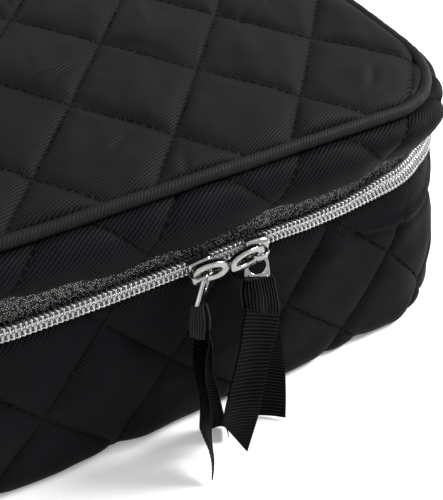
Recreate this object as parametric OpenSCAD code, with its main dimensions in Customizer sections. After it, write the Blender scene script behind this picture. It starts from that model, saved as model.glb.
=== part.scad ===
// Zip-around quilted jewellery case, two ribbon-pull sliders, lid on a cloth hinge.
// Own frame: X runs along the front, Y from the front to the back, Z up, floor at 0.

/* [Case] */
// Width over the quilted walls
body_w = 200; // [150:5:300]
// Depth over the quilted walls
body_d = 140; // [100:5:220]
// Radius of the standing corners
corner_r = 30; // [16:1:45]
// Height of the middle of the zip above the floor
zip_z = 55; // [45:1:90]
// Height of the lid, zip middle to the flat top seam
lid_h = 21.5; // [18:0.5:45]

/* [Layers] */
// Quilted wall, cloth and foam together
wall_t = 4; // [3:0.5:8]
// Quilted top and bottom panels
panel_t = 4.2; // [3:0.2:8]
// Stiffening board
board_t = 1.2; // [0.8:0.1:3]
// Lining cloth
lining_t = 0.8; // [0.5:0.1:2]
// Clearance between neighbouring layers
seat = 0.3; // [0.2:0.05:0.5]
// Thickness of the piping cord in its cloth
piping_d = 3.2; // [2:0.2:6]
// How far the top seam sits in from the widest line
seam_in = 5.4; // [0.4:0.2:7]

/* [Zip] */
// Width of the closed chain
chain_h = 4.5; // [4:0.5:9]
// Thickness of the coil
coil_t = 2.1; // [1.4:0.1:3]
// Gap between the two coil halves
coil_gap = 0.8; // [0.6:0.1:1.2]
// Thickness of the zip tape
tape_t = 0.6; // [0.4:0.1:1]
// Width of one tape, from the zip middle
tape_w = 15; // [11:1:20]
// Upper tape left in sight above the chain
tape_show = 7; // [3:0.5:9]
// Length of the cloth hinge at the back
hinge_w = 100; // [60:5:160]
// Thickness of the cloth hinge
hinge_t = 1.5; // [0.8:0.1:3]

/* [Sliders] */
// Middle of the left slider
slider_left_x = 13.5; // [-50:0.5:14]
// Middle of the right slider
slider_right_x = 29.5; // [29:0.5:52]
// Length of a slider body
slider_l = 6; // [6:0.2:7]
// Thickness of the slider plates
slider_t = 1.3; // [1:0.1:2]
// Outer radius of the bridge
bridge_r = 2.9; // [2.8:0.1:3.4]
// Width of the bridge
bridge_w = 2; // [1.5:0.1:2.6]
// Shift of the bridge and the ring along the slider
bridge_shift = 0.6; // [0:0.1:0.8]
// Thickness of the bridge
bridge_t = 0.8; // [0.6:0.1:1]

/* [Pulls] */
// Thickness of the pull ring bar
ring_bar = 1.5; // [1.2:0.1:1.6]
// Middle width of the pull ring
ring_w = 5; // [4.6:0.2:8]
// Straight length of the pull ring
ring_l = 4.8; // [4.6:0.1:5]
// Swing of the left ring out from the wall
ring_left_deg = 4; // [3:1:40]
// Swing of the right ring out from the wall
ring_right_deg = 14; // [12:1:40]
// Where the left link hangs along its ring
link_left_at = 4.7; // [4.4:0.1:4.8]
// Where the right link hangs along its ring
link_right_at = 4.6; // [4.4:0.1:4.8]
// Hole through the link plate
link_hole = 4.6; // [4.4:0.1:5]
// Thickness of the link plate
link_t = 1.2; // [0.8:0.1:1.6]
// Width of the ribbon
ribbon_w = 10.2; // [10:0.2:16]
// Thickness of the ribbon
ribbon_t = 0.5; // [0.3:0.05:0.8]
// Height of the ribbon collar
collar_h = 10; // [7:0.5:14]
// Length of the free ribbon tails
tail_l = 36; // [20:1:37]
// Outward lean of the left link and its ribbon
link_left_lean = 40; // [32:1:60]
// Sideways tilt of the left link and its ribbon
link_left_tilt = 16; // [0:1:25]
// Turn of the left link from square across its ring
link_left_turn = -14; // [-16:1:10]
// Outward lean of the right link and its ribbon
link_right_lean = 26; // [24:1:60]
// Turn of the right link from square across its ring
link_right_turn = 36; // [0:1:38]

/* [Inside] */
// Height of the compartment walls
divider_h = 28; // [15:1:34]
// Thickness of the compartment walls
divider_t = 3; // [2:0.5:5]
// Gap between neighbouring ring rolls
roll_gap = 1.4; // [0.6:0.2:4]
// Height of the foam bed under the ring rolls
bed_h = 10; // [5:1:14]
// Width of the lid pocket
pocket_w = 150; // [80:5:240]
// Depth of the lid pocket
pocket_d = 84; // [50:2:160]

/* [Hidden] */
half_w = body_w / 2;
half_d = body_d / 2;
half_gap = coil_gap / 2;
half_chain = chain_h / 2;
// depths below the outer face of the wall
in_board = wall_t + seat;
in_lining = in_board + board_t + seat;
in_room = in_lining + lining_t;
coil_in = 0.2;
tape_in = coil_in + coil_t + seat;
hem_t = tape_in - seat;
in_lid = in_board + lining_t;
// heights
flange_h = half_chain + seat + 1.1;
base_top = zip_z - flange_h - seat;
board_z = panel_t + seat;
lining_z = board_z + board_t + seat;
room_z = lining_z + lining_t;
inner_top = base_top - 0.7;
band_z = zip_z + half_chain + tape_show;
seam_z = zip_z + lid_h;
piping_z = seam_z - 1;
piping_in = seam_in + piping_d / 2;
band_top = piping_z - piping_d / 2 - seat;
panel_in = piping_in + piping_d / 2 + seat;
panel_z = band_top + seat;
lid_board_z = band_top - board_t;
lid_lining_z = lid_board_z - seat - lining_t;
lid_skirt_z = zip_z + flange_h + 1.1;
// slider heights out from the wall
plate_out = 0.1;
face_out = plate_out + slider_t;
pivot_out = face_out + bridge_r - bridge_t - ring_bar / 2 - seat;
// link and ribbon heights, down from the hinge on the ring
hole_h = -(link_hole / 2 - ring_bar / 2 - 0.5);
waist_h = hole_h - link_hole / 2 - 0.7;
slot_h = waist_h - 1.7;
plate_end = slot_h - 1.2;
collar_top = waist_h + 0.1;
collar_end = collar_top - collar_h;
fold_h = slot_h + seat;
fold_in = link_t / 2 + 0.2;
link_half = link_hole / 2 + 1.3;
fold_w = 2 * link_half - 2.2;
room_w = body_w - 2 * in_room;
room_d = body_d - 2 * in_room;
divider_y = 2;
front_x = 10;
bed_w = half_w - in_room + front_x - divider_t / 2 - 2 * seat;
roll_pitch = (half_d - in_room + divider_y - divider_t / 2 - 2 * seat) / 4;
roll_d = roll_pitch - roll_gap;
roll_z = room_z + seat + bed_h + seat + roll_d / 2;

// ---- shared shapes ----

// outline of the case, drawn in by a given depth
module plan(inset) {
    w = body_w - 2 * inset;
    d = body_d - 2 * inset;
    r = corner_r - inset;
    square([w - 2 * r, d], center = true);
    square([w, d - 2 * r], center = true);
    for (sx = [-1, 1])
        for (sy = [-1, 1])
            translate([sx * (w / 2 - r), sy * (d / 2 - r)])
                circle(r = r);
}

// a standing band between two depths and two heights
module band(outer, inner, low, high) {
    translate([0, 0, low])
        linear_extrude(height = high - low)
            difference() {
                plan(outer);
                plan(inner);
            }
}

// a flat layer between two heights
module layer(inset, low, high) {
    translate([0, 0, low])
        linear_extrude(height = high - low)
            plan(inset);
}

// a band that stops either side of the cloth hinge
module zip_band(outer, inner, low, high) {
    difference() {
        band(outer, inner, low, high);
        translate([-hinge_w / 2, 0, low - 1])
            cube([hinge_w, body_d, high - low + 2]);
    }
}

// ---- base ----

module base_floor_panel() {
    color("#1d1e22")
        layer(in_board, 0, panel_t);
}

module base_wall() {
    color("#202126")
        difference() {
            band(0, wall_t, 0.5, base_top);
            band(hem_t, wall_t + 1, zip_z - tape_w - seat, base_top + 1);
        }
}

module base_floor_board() {
    color("#6d6a63")
        layer(in_board, board_z, board_z + board_t);
}

module base_wall_board() {
    color("#6d6a63")
        band(in_board, in_board + board_t, lining_z, inner_top);
}

module base_lining_floor() {
    color("#8d8a86")
        layer(in_lining, lining_z, room_z);
}

module base_lining_wall() {
    color("#8d8a86")
        band(in_lining, in_room, room_z + seat, inner_top);
}

module zip_tape_lower() {
    color("#17171a")
        zip_band(tape_in, tape_in + tape_t, zip_z - tape_w, zip_z - half_gap);
}

module coil_lower() {
    color("#b9bbc0")
        zip_band(coil_in, coil_in + coil_t, zip_z - half_chain, zip_z - half_gap);
}

module back_hinge() {
    low = base_top + seat;
    color("#1b1c20")
        translate([-hinge_w / 2 + seat, half_d - 0.5 - hinge_t, low])
            cube([hinge_w - 2 * seat, hinge_t, band_z - seat - low]);
}

// ---- fittings inside the base ----

module divider_long() {
    color("#8d8a86")
        translate([-room_w / 2 + seat, divider_y - divider_t / 2, room_z + seat])
            cube([room_w - 2 * seat, divider_t, divider_h]);
}

// one cross wall at x, from y_low to y_high
module cross_wall(x, y_low, y_high) {
    color("#8d8a86")
        translate([x - divider_t / 2, y_low, room_z + seat])
            cube([divider_t, y_high - y_low, divider_h]);
}

module divider_front() {
    cross_wall(front_x, -room_d / 2 + seat, divider_y - divider_t / 2 - seat);
}

module divider_back_left() {
    cross_wall(-room_w / 6, divider_y + divider_t / 2 + seat, room_d / 2 - seat);
}

module divider_back_right() {
    cross_wall(room_w / 6, divider_y + divider_t / 2 + seat, room_d / 2 - seat);
}

// the corner compartment the rolls lie in
module roll_room(low, high) {
    intersection() {
        layer(in_room + seat, low, high);
        translate([-half_w, -half_d, low])
            cube([in_room + seat + bed_w, half_d + divider_y - divider_t / 2 - seat, high - low]);
    }
}

module roll_bed() {
    color("#7f7c78")
        roll_room(room_z + seat, room_z + seat + bed_h);
}

module ring_roll(place) {
    color("#9a9692")
        intersection() {
            roll_room(room_z, room_z + bed_h + roll_d + 2);
            translate([-half_w, -room_d / 2 + seat + roll_pitch * (place - 0.5), roll_z])
                rotate([0, 90, 0])
                    cylinder(d = roll_d, h = body_w);
        }
}

module ring_roll_1() {
    ring_roll(1);
}

module ring_roll_2() {
    ring_roll(2);
}

module ring_roll_3() {
    ring_roll(3);
}

module ring_roll_4() {
    ring_roll(4);
}

// ---- lid ----

module lid_top_panel() {
    color("#1f2025")
        layer(panel_in, panel_z, panel_z + panel_t);
}

module lid_band() {
    color("#202126")
        difference() {
            band(0, wall_t, band_z, band_top);
            band(hem_t, wall_t + 1, band_z - 1, zip_z + tape_w + seat);
        }
}

// cord along the top seam: straight runs and quarter rings
module lid_piping() {
    run_w = body_w - 2 * corner_r;
    run_d = body_d - 2 * corner_r;
    bend = corner_r - piping_in;
    color("#1a1a1c")
        translate([0, 0, piping_z])
            for (side = [0, 1])
                rotate([0, 0, side * 180]) {
                    translate([-run_w / 2, half_d - piping_in, 0])
                        rotate([0, 90, 0])
                            cylinder(d = piping_d, h = run_w);
                    translate([half_w - piping_in, run_d / 2, 0])
                        rotate([90, 0, 0])
                            cylinder(d = piping_d, h = run_d);
                    translate([run_w / 2, run_d / 2, 0])
                        rotate_extrude(angle = 90)
                            translate([bend, 0])
                                circle(d = piping_d);
                    translate([-run_w / 2, run_d / 2, 0])
                        rotate([0, 0, 90])
                            rotate_extrude(angle = 90)
                                translate([bend, 0])
                                    circle(d = piping_d);
                }
}

module lid_top_board() {
    color("#6d6a63")
        layer(piping_in, lid_board_z, band_top);
}

module lid_lining_top() {
    color("#8d8a86")
        layer(in_board, lid_lining_z, lid_lining_z + lining_t);
}

module lid_lining_band() {
    color("#8d8a86")
        band(in_board, in_lid, lid_skirt_z, lid_lining_z - seat);
}

module zip_tape_upper() {
    color("#17171a")
        zip_band(tape_in, tape_in + tape_t, zip_z + half_gap, zip_z + tape_w);
}

module coil_upper() {
    color("#b9bbc0")
        zip_band(coil_in, coil_in + coil_t, zip_z + half_gap, zip_z + half_chain);
}

module lid_pocket() {
    color("#8d8a86")
        translate([-pocket_w / 2, -pocket_d / 2, lid_lining_z - seat - 1])
            cube([pocket_w, pocket_d, 1]);
}

module pocket_elastic() {
    color("#55524f")
        translate([-pocket_w / 2, -pocket_d / 2, lid_lining_z - 2 * seat - 2.2])
            cube([pocket_w, 7, 1.2]);
}

// ---- sliders: drawn at the wall, x along the front, y inward, z up from the zip middle ----

module slider_shape(nose) {
    back_in = tape_in + tape_t + seat;
    // outer plate, with a rounded nose
    rotate([90, 0, 0])
        translate([0, 0, plate_out])
            linear_extrude(height = slider_t)
                slider_outline(nose);
    // inner plate behind the tapes
    rotate([90, 0, 0])
        translate([0, 0, -back_in - 1])
            linear_extrude(height = 1)
                slider_outline(nose);
    // side walls over the edges of the chain
    for (s = [0, 1])
        translate([-slider_l / 2 + 1, -face_out, s == 0 ? -flange_h : flange_h - 1.1])
            cube([slider_l - 3.2, face_out + tape_in - 0.7, 1.1]);
    // web between the coil halves at the nose
    translate([nose * (slider_l / 2 - 1.6) - 1, -plate_out - 0.5, -0.2])
        cube([2, plate_out + 1 + back_in, 0.4]);
    // bridge for the ring
    translate([-nose * bridge_shift, -face_out, 0])
        rotate([180, 0, 0])
            translate([0, 0, -bridge_w / 2])
                linear_extrude(height = bridge_w)
                    difference() {
                        intersection() {
                            circle(r = bridge_r);
                            translate([-bridge_r, -0.3])
                                square([2 * bridge_r, bridge_r + 0.3]);
                        }
                        translate([0, 0.001])
                            intersection() {
                                circle(r = bridge_r - bridge_t);
                                translate([-bridge_r, 0])
                                    square([2 * bridge_r, bridge_r]);
                            }
                    }
}

// plate outline: square tail, rounded nose
module slider_outline(nose) {
    r = 2.2;
    translate([nose > 0 ? -slider_l / 2 : -slider_l / 2 + r, -flange_h])
        square([slider_l - r, 2 * flange_h]);
    translate([-slider_l / 2, -flange_h + r])
        square([slider_l, 2 * flange_h - 2 * r]);
    for (s = [-1, 1])
        translate([nose * (slider_l / 2 - r), s * (flange_h - r)])
            circle(r = r);
}

// ring on its cross bar, lying along +x with its middle plane at y = 0
module ring_shape() {
    for (s = [-1, 1]) {
        translate([0, 0, s * ring_w / 2])
            rotate([0, 90, 0])
                cylinder(d = ring_bar, h = ring_l);
        translate([0, 0, s * ring_w / 2])
            sphere(d = ring_bar);
    }
    translate([0, 0, -ring_w / 2])
        cylinder(d = ring_bar, h = ring_w);
    translate([ring_l, 0, 0])
        rotate([90, 0, 0])
            rotate([0, 0, -90])
                rotate_extrude(angle = 180)
                    translate([ring_w / 2, 0])
                        circle(d = ring_bar);
}

// link plate standing in the x-z plane, hinge line through the origin along y
module link_shape() {
    difference() {
        union() {
            translate([0, link_t / 2, hole_h])
                rotate([90, 0, 0])
                    cylinder(r = link_hole / 2 + 0.8, h = link_t);
            rotate([90, 0, 0])
                translate([0, 0, -link_t / 2])
                    linear_extrude(height = link_t)
                        polygon([[-2.2, -0.4], [2.2, -0.4], [link_half, waist_h], [link_half, plate_end],
                            [-link_half, plate_end], [-link_half, waist_h]]);
        }
        translate([0, link_t, hole_h])
            rotate([90, 0, 0])
                cylinder(d = link_hole, h = 2 * link_t);
        translate([0.8 - link_half, -link_t, slot_h])
            cube([2 * link_half - 1.6, 2 * link_t, 1.5]);
    }
}

// collar wrapped round both layers of ribbon
module collar_shape() {
    outer_w = ribbon_w / 2 + seat + ribbon_t;
    outer_t = fold_in + 2 * ribbon_t + seat;
    translate([0, 0, collar_end])
        linear_extrude(height = collar_h)
            difference() {
                square([2 * outer_w, 2 * outer_t], center = true);
                square([2 * (outer_w - ribbon_t), 2 * (outer_t - ribbon_t)], center = true);
            }
}

// one tail: side picks the layer, lean_w and lean_t tip its foot, cut slants its end
module tail(side, lean_w, lean_t, length, cut) {
    middle = side * (fold_in + ribbon_t / 2);
    translate([0, middle, collar_end - 0.7])
        rotate([lean_t, 0, 0])
            rotate([0, lean_w, 0])
                rotate([90, 0, 0])
                    translate([0, 0, -ribbon_t / 2])
                        linear_extrude(height = ribbon_t)
                            polygon([[-ribbon_w / 2, 0], [ribbon_w / 2, 0],
                                [ribbon_w / 2, -length - cut], [-ribbon_w / 2, -length + cut]]);
    translate([-ribbon_w / 2, middle - ribbon_t / 2, collar_end - 1])
        cube([ribbon_w, ribbon_t, collar_h - 3.6]);
}

// the part of the ribbon folded over the foot of the link
module fold_shape() {
    difference() {
        translate([-fold_w / 2, -fold_in - ribbon_t, collar_end + 4])
            cube([fold_w, 2 * (fold_in + ribbon_t), fold_h + ribbon_t - collar_end - 4]);
        translate([-fold_w / 2 - 1, -fold_in, collar_end + 3])
            cube([fold_w + 2, 2 * fold_in, fold_h - collar_end - 3]);
    }
}

// left side: the ring points right, the link hangs across it, leaning out and to the left
module at_slider_left() {
    translate([slider_left_x, -half_d, zip_z])
        children();
}

module at_ring_left() {
    at_slider_left()
        translate([-bridge_shift, -pivot_out, 0])
            rotate([0, 0, -ring_left_deg])
                children();
}

module at_link_left() {
    at_ring_left()
        translate([link_left_at, 0, -ring_w / 2])
            rotate([-link_left_lean, 0, 0])
                rotate([0, link_left_tilt, 0])
                    rotate([0, 0, link_left_turn - 90])
                        children();
}

module at_slider_right() {
    translate([slider_right_x, -half_d, zip_z])
        children();
}

module at_ring_right() {
    at_slider_right()
        translate([bridge_shift, -pivot_out, 0])
            rotate([0, 0, 180 + ring_right_deg])
                children();
}

module at_link_right() {
    at_ring_right()
        translate([link_right_at, 0, -ring_w / 2])
            rotate([link_right_lean, 0, 0])
                rotate([0, 0, link_right_turn + 90])
                    children();
}

module slider_left() {
    color("#d5d6d8")
        at_slider_left()
            slider_shape(1);
}

module pull_ring_left() {
    color("#d5d6d8")
        at_ring_left()
            ring_shape();
}

module link_left() {
    color("#d5d6d8")
        at_link_left()
            link_shape();
}

module ribbon_left() {
    color("#0f0e0e")
        at_link_left() {
            fold_shape();
            tail(1, 26, 10, tail_l - 1.5, 0);
            tail(-1, 20, 8, tail_l, 0);
        }
}

module collar_left() {
    color("#0f0e0e")
        at_link_left()
            collar_shape();
}

module slider_right() {
    color("#d5d6d8")
        at_slider_right()
            slider_shape(-1);
}

module pull_ring_right() {
    color("#d5d6d8")
        at_ring_right()
            ring_shape();
}

module link_right() {
    color("#d5d6d8")
        at_link_right()
            link_shape();
}

module ribbon_right() {
    color("#0f0e0e")
        at_link_right() {
            fold_shape();
            tail(-1, 16, -8, tail_l, 2);
            tail(1, 9, 6, tail_l - 2, 0);
        }
}

module collar_right() {
    color("#0f0e0e")
        at_link_right()
            collar_shape();
}

base_floor_panel();
base_wall();
base_floor_board();
base_wall_board();
base_lining_floor();
base_lining_wall();
zip_tape_lower();
coil_lower();
back_hinge();
divider_long();
divider_front();
divider_back_left();
divider_back_right();
roll_bed();
ring_roll_1();
ring_roll_2();
ring_roll_3();
ring_roll_4();
lid_top_panel();
lid_band();
lid_piping();
lid_top_board();
lid_lining_top();
lid_lining_band();
zip_tape_upper();
coil_upper();
lid_pocket();
pocket_elastic();
slider_left();
pull_ring_left();
link_left();
ribbon_left();
collar_left();
slider_right();
pull_ring_right();
link_right();
ribbon_right();
collar_right();
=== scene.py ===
# Quilted jewellery case with a zip all round: cloth, zip, pulls and padded inside on the frame's bodies.
import math

import bpy
import numpy as np
from mathutils import Matrix, Vector


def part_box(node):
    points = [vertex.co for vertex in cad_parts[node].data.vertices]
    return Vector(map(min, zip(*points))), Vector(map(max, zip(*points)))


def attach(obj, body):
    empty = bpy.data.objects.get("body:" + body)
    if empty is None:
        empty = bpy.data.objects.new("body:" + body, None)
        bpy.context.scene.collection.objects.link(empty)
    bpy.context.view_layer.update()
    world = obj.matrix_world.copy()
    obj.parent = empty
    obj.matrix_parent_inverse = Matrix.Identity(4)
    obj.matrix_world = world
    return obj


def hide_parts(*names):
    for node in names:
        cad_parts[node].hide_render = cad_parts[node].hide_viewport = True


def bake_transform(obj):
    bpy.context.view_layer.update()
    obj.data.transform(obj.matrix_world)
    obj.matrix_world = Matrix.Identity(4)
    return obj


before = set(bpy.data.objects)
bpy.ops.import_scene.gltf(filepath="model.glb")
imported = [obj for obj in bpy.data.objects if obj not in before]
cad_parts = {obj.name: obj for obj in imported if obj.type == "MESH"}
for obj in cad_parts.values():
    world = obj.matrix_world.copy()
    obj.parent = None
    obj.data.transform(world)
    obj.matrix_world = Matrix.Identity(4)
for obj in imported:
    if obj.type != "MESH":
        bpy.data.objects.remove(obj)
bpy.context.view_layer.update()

MM = 0.001


def span(node):
    """Lowest and highest corner of a frame part, in mm."""
    low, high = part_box(node)
    return np.array(low) / MM, np.array(high) / MM


# ---- sizes, in mm ----

CORNER = 30
HALF_W, HALF_D = span("base_wall")[1][:2]
ZIP_Z = (span("coil_lower")[1][2] + span("coil_upper")[0][2]) / 2
CHAIN_HIGH = span("coil_upper")[1][2]
BAND_TOP = span("lid_band")[1][2]
PIPING_Z = (span("lid_piping")[0][2] + span("lid_piping")[1][2]) / 2
PIPING_R = (span("lid_piping")[1][2] - span("lid_piping")[0][2]) / 2
PIPING_IN = HALF_W - span("lid_piping")[1][0] + PIPING_R
HINGE_HALF = span("back_hinge")[1][0] + 0.3
FLOOR_Z = span("base_lining_floor")[1][2]
CLOTH_STEP = 0.8  # spacing of the points of quilted cloth
PAD_STEP = 0.9  # the same for the padded pieces inside
RIB = 1.05  # from one rib of the ribbon to the next
STITCH = 2.4  # one stitch of the quilting and the gap after it
COIL_PITCH = 1.25
COIL_DEEP = 1.2  # the coil's middle, in from the widest line
WIRE = 0.41
TAPER = 4.0  # how much each flank of the lid comes in towards the back


# ---- finishes ----

class Reading:
    """One output of a node in a finish. Arithmetic on readings adds the Math nodes."""

    def __init__(self, finish, socket):
        self.finish = finish
        self.socket = socket

    def math(self, operation, *others):
        """A Math node fed with this reading first."""
        return self.finish.add("ShaderNodeMath", {"operation": operation}, dict(enumerate([self, *others])))

    def __add__(self, other):
        return self.math("ADD", other)

    __radd__ = __add__

    def __sub__(self, other):
        return self.math("SUBTRACT", other)

    def __rsub__(self, first):
        return self.finish.add("ShaderNodeMath", {"operation": "SUBTRACT"}, {0: first, 1: self})

    def __mul__(self, other):
        return self.math("MULTIPLY", other)

    __rmul__ = __mul__

    def __truediv__(self, other):
        return self.math("DIVIDE", other)

    def wave(self):
        """0 to 1 and back over each whole unit."""
        return (self * (2 * math.pi)).math("SINE") * 0.5 + 0.5

    def off_line(self):
        """Distance to the nearest whole number."""
        return (self + 0.5).math("FRACT").math("SUBTRACT", 0.5).math("ABSOLUTE")

    def below(self, limit, soft):
        """1 below a limit, easing to 0 over a soft edge."""
        settings = {"interpolation_type": "SMOOTHSTEP"}
        ends = {"From Min": limit - soft, "From Max": limit + soft, "To Min": 1.0, "To Max": 0.0}
        return self.finish.add("ShaderNodeMapRange", settings, {"Value": self, **ends})


class Finish:
    """One material, built up from its nodes, and the record's slot it belongs to."""

    def __init__(self, name, slot):
        self.slot = slot
        self.material = bpy.data.materials.new(name)
        self.material.use_nodes = True
        self.tree = self.material.node_tree
        self.shader = self.tree.nodes["Principled BSDF"]

    def add(self, kind, settings, inputs, output=0):
        """A node of one kind: its settings first, then its sockets' values or readings."""
        node = self.tree.nodes.new(kind)
        for name, setting in settings.items():
            setattr(node, name, setting)
        self.fill(node, inputs)
        return Reading(self, node.outputs[output])

    def fill(self, node, inputs):
        """Links a node's sockets to readings and sets the rest to values."""
        for name, value in inputs.items():
            if isinstance(value, Reading):
                self.tree.links.new(value.socket, node.inputs[name])
            else:
                node.inputs[name].default_value = value

    def surface(self, **inputs):
        """Sets the shader's own sockets, Base_Color for Base Color."""
        self.fill(self.shader, {name.replace("_", " "): value for name, value in inputs.items()})

    def along(self, attribute, axis):
        """One coordinate of a piece's own cloth, in mm."""
        place = self.add("ShaderNodeAttribute", {"attribute_name": attribute}, {}, "Vector")
        return self.add("ShaderNodeSeparateXYZ", {}, {"Vector": place}, axis)

    def place(self):
        """Position on the piece, in mm."""
        here = self.add("ShaderNodeTexCoord", {}, {}, "Object")
        return self.add("ShaderNodeVectorMath", {"operation": "SCALE"}, {0: here, "Scale": 1 / MM})

    def noise(self, place, scale, detail=2.0):
        """Cloudy noise, about 0 to 1."""
        return self.add("ShaderNodeTexNoise", {}, {"Vector": place, "Scale": scale, "Detail": detail})

    def mix(self, mask, low, high):
        """A colour between two others."""
        settings = {"data_type": "RGBA"}
        return self.add("ShaderNodeMix", settings, {0: mask, 6: shade(low), 7: shade(high)}, 2)

    def bump(self, height, depth):
        """Relief of a height from 0 to 1, its depth in mm."""
        return self.add("ShaderNodeBump", {}, {"Height": height, "Strength": 1.0, "Distance": depth * MM})


def shade(colour):
    """A colour with its alpha, or a reading as it is."""
    return colour if isinstance(colour, Reading) else (*colour, 1.0)


class Quilting:
    """Diamonds of stitching: two families of lines on the cloth's own coordinates.

    A diamond is wide by high, one crossing is at (u0, v0), and the rows climb by lean along the front.
    """

    def __init__(self, wide, high, u0, v0, lean=0.0):
        self.wide, self.high, self.u0, self.v0, self.lean = wide, high, u0, v0, lean
        self.step = 1 / math.hypot(1 / wide, 1 / high)
        self.stitch_run = self.step / math.sin(2 * math.atan2(wide, high))

    def lines(self, u, v):
        """Counts of the two families of lines at a place on the cloth."""
        across = (u - self.u0) / self.wide
        up = (v - self.lean * np.clip(u - self.u0, -75, 110) - self.v0) / self.high
        return across + up, across - up

    def off(self, count):
        """Distance to the nearest line of one family."""
        return np.abs(count - np.round(count)) * self.step

    def arch(self, distance):
        """Rise of the padding away from a stitch line, 0 to 1."""
        soft = 1 - np.exp(-distance / 1.5)
        return 0.6 * soft + 0.4 * rounded(distance, self.step / 2)

    def padding(self, u, v, rise, seed):
        """Height of quilted padding: domes between the lines, small puckers beside them."""
        near_a, near_b = (self.off(count) for count in self.lines(u, v))
        dome = self.arch(near_a) * self.arch(near_b)
        pucker = np.exp(-near_a / 3) * near_a * ripple(u, v, 7, seed)
        pucker = pucker + np.exp(-near_b / 3) * near_b * ripple(u, v, 6, seed + 1)
        folds = ripple(u, v, 30, seed + 2) * 0.22 + ripple(u, v, 12, seed + 3) * 0.08
        return rise * dome * (1 + folds) + 0.05 * pucker


TOP_QUILTING = Quilting(34.78, 42.51, 19.06, 37.44)
WALL_QUILTING = Quilting(31.75, 44.6, -26.2, 23.9, 0.093)
BAND_QUILTING = Quilting(32.3, 36.0, 1.3, 66.6)
FLOOR_QUILTING = Quilting(34.0, 42.0, 0.0, 0.0)


def twill(finish, turn, pitch):
    """Diagonal ribs of the cloth, 0 in the furrows and 1 on the ribs."""
    u, v = finish.along("cloth", "X"), finish.along("cloth", "Y")
    across = v * (math.cos(turn) / pitch) - u * (math.sin(turn) / pitch)
    yarn = (u * (math.cos(turn) / 0.9) + v * (math.sin(turn) / 0.9)).wave()
    return across.wave() * 0.82 + yarn * 0.18


def quilted_cloth(name, turn, pitch, quilting, shaded_furrow, rib, shine):
    """Black twill with the stitch lines of the quilting; its furrows and stitch pits are painted shade."""
    cloth = Finish(name, "quilted_cloth")
    ribs = twill(cloth, turn, pitch)
    a, b = cloth.along("lines", "X"), cloth.along("lines", "Y")
    # The stitch dashes: dark thread, with painted shade in the pits where it sinks.
    shaded_stitch_pits = None
    for across, length in ((a, b), (b, a)):
        off = across.off_line() * quilting.step
        run = length * (quilting.stitch_run / STITCH)
        thread = off.below(0.34, 0.12) * run.off_line().below(0.34, 0.08)
        shaded_stitch_pits = thread if shaded_stitch_pits is None else shaded_stitch_pits.math("MAXIMUM", thread)
    worn = cloth.noise(cloth.place(), 0.09)
    # Painted shade in the twill's furrows and painted light on its ribs, over the bump of the same ribs.
    base = cloth.mix(ribs * ribs * 0.85 + worn * 0.15, shaded_furrow, rib)
    # Painted shade: the stitch pits darkened nearly to black.
    colour = cloth.mix(shaded_stitch_pits, base, (0.0012, 0.0012, 0.0014))
    relief = cloth.bump(ribs * 0.6 - shaded_stitch_pits * 1.2, 0.16)
    cloth.surface(Base_Color=colour, Roughness=0.58, Normal=relief, Specular_IOR_Level=shine)
    return cloth


def piping_cloth():
    """The same twill cut on the bias."""
    cloth = Finish("piping cloth", "piping_cloth")
    ribs = twill(cloth, math.radians(58), 0.7)
    # Painted shade in the twill's furrows and painted light on its ribs.
    base = cloth.mix(ribs, (0.0008, 0.0009, 0.0010), (0.0062, 0.0066, 0.0075))
    cloth.surface(Base_Color=base, Roughness=0.62, Normal=cloth.bump(ribs, 0.07), Specular_IOR_Level=0.14)
    return cloth


def zip_tape_cloth():
    """Black woven tape with painted grey glints where its yarns turn over."""
    tape = Finish("zip tape", "zip_tape")
    u, v = tape.along("cloth", "X"), tape.along("cloth", "Y")
    zigzag = (v / 2.2).off_line() * 1.6
    weave = ((u + zigzag) / 0.62).wave() * (v / 0.55).wave()
    drift = 1 - tape.noise(tape.place(), 1.5, 3.0).below(0.50, 0.05)
    # Painted highlights: grey glints on the yarns' turns, in the colour.
    painted_glint = (1 - weave.below(0.42, 0.12)) * drift
    base = tape.mix(painted_glint, (0.0016, 0.0016, 0.0016), (0.42, 0.41, 0.385))
    tape.surface(Base_Color=base, Roughness=0.55, Normal=tape.bump(weave, 0.14), Specular_IOR_Level=0.2)
    return tape


def metal(name, slot, low, high, scale, detail, metallic, roughness, spread=0.0):
    """Plated metal, its tone and gloss drifting a little from place to place."""
    plate = Finish(name, slot)
    drift = plate.noise(plate.place(), scale, detail)
    plate.surface(Base_Color=plate.mix(drift, low, high), Metallic=metallic)
    plate.surface(Roughness=drift * spread + roughness if spread else roughness)
    return plate


def ribbon_cloth(name, light):
    """Black ribbed ribbon: the ribs are in the mesh, the yarns in the finish; its colour is painted shade
    between the ribs and painted light on their crests.
    """
    ribbon = Finish(name, "ribbon")
    u, v = ribbon.along("cloth", "X"), ribbon.along("cloth", "Y")
    yarn = (u / 0.32).wave()
    rib = (v / RIB).wave()
    crest_painted_light = rib * rib * rib
    # Painted shade between the ribs, painted light on their crests.
    base = ribbon.mix(crest_painted_light * crest_painted_light * (yarn * 0.4 + 0.6), (0.0001, 0.0001, 0.0001),
                      (light, light * 0.94, light * 0.86))
    ribbon.surface(Base_Color=base, Roughness=0.38, Normal=ribbon.bump(yarn, 0.03), Specular_IOR_Level=0.03)
    return ribbon


def woven_lining(name, slot, low, high, pitch, roughness):
    """Plain weave: yarns over and under each other both ways."""
    lining = Finish(name, slot)
    u, v = lining.along("cloth", "X"), lining.along("cloth", "Y")
    weave = (u / pitch).wave() * (v / pitch + 0.5).wave() + (u / pitch + 0.5).wave() * (v / pitch).wave()
    worn = lining.noise(lining.place(), 0.06)
    base = lining.mix(weave * 0.8 + worn * 0.2, low, high)
    lining.surface(Base_Color=base, Roughness=roughness, Normal=lining.bump(weave, 0.05))
    lining.surface(Specular_IOR_Level=0.3)
    return lining


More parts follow.
